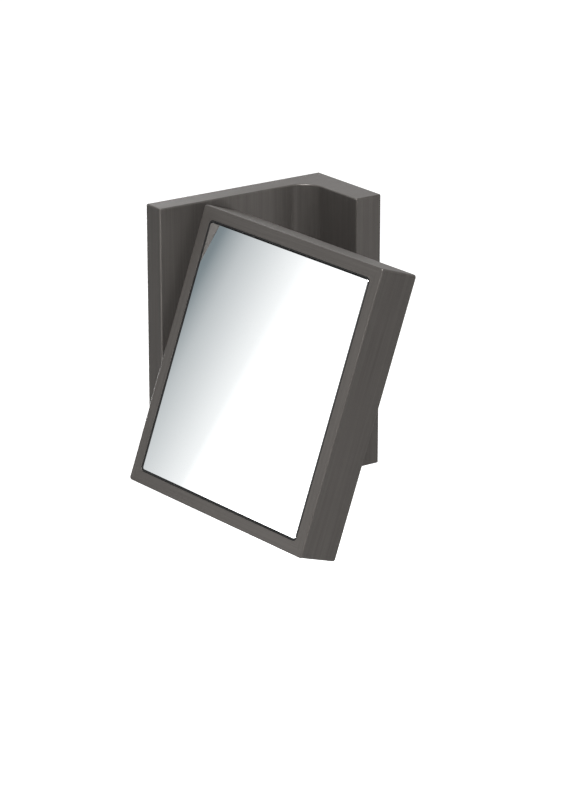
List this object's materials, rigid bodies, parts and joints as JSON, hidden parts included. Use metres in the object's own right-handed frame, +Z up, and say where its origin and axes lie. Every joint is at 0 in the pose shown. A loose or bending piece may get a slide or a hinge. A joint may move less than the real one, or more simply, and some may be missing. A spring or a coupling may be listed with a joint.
{
  "type": "wall-mounted shaving mirror",
  "caption": "Rectangular shaving mirror in a deep metal frame, held beside a rigid arm that stands out from the wall, on friction hinges that tilt and swivel it.",
  "frame": {"origin": "middle of the bracket's back, on the wall plane", "axes": "+Y into the wall, so the arm reaches out along -Y; +X to the user's right along the wall; +Z up"},
  "size_m": [0.1947, 0.1713, 0.1955],
  "materials": {
    "brushed_gunmetal": "brushed dark gun-metal plating, fine straight grain",
    "satin_gunmetal": "satin dark plating",
    "dark_steel": "blackened steel",
    "zinc_steel": "zinc plated",
    "spring_steel": "oiled spring steel",
    "bearing_bronze": "sintered bronze",
    "silvered_glass": "silvered float glass, polished bevel",
    "black_rubber": "matt",
    "black_plastic": "fine matt",
    "white_plastic": "bearing plastic",
    "grey_foam": "double-sided foam sheet"
  },
  "bodies": {
    "bracket": {"bracket_body": "brushed_gunmetal", "wall_mount_plate": "zinc_steel", "grub_screws": "dark_steel", "tilt_bush": "bearing_bronze", "friction_washer": "white_plastic", "pivot_cap": "brushed_gunmetal"},
    "tilt_knuckle": {"tilt_shaft": "dark_steel", "pressure_washer": "zinc_steel", "tilt_disc_springs": "spring_steel", "tilt_lock_nut": "zinc_steel"},
    "mirror_head": {"mirror_frame": "brushed_gunmetal", "weld_studs": "zinc_steel", "slot_liner": "black_plastic", "mirror_glass": "silvered_glass", "glass_gasket": "black_rubber", "adhesive_pad": "grey_foam", "carrier_plate": "zinc_steel", "carrier_nuts": "zinc_steel", "swivel_fork": "zinc_steel", "fork_screws": "dark_steel", "swivel_washers": "white_plastic", "swivel_pin": "dark_steel", "swivel_disc_springs": "spring_steel", "swivel_lock_nut": "zinc_steel", "cover_standoffs": "zinc_steel", "back_cover": "satin_gunmetal", "cover_screws": "dark_steel"}
  },
  "joints": [
    {"name": "mirror_tilt", "type": "hinge", "parent": "bracket", "child": "tilt_knuckle", "pos_m": [-0.0015, -0.1245, 0], "axis": [1, 0, 0], "continuous": true},
    {"name": "mirror_swivel", "type": "hinge", "parent": "tilt_knuckle", "child": "mirror_head", "pos_m": [-0.0015, -0.1245, 0], "axis": [0, 0.3305, 0.9438], "range_deg": [-18.3, 5.7]}
  ]
}
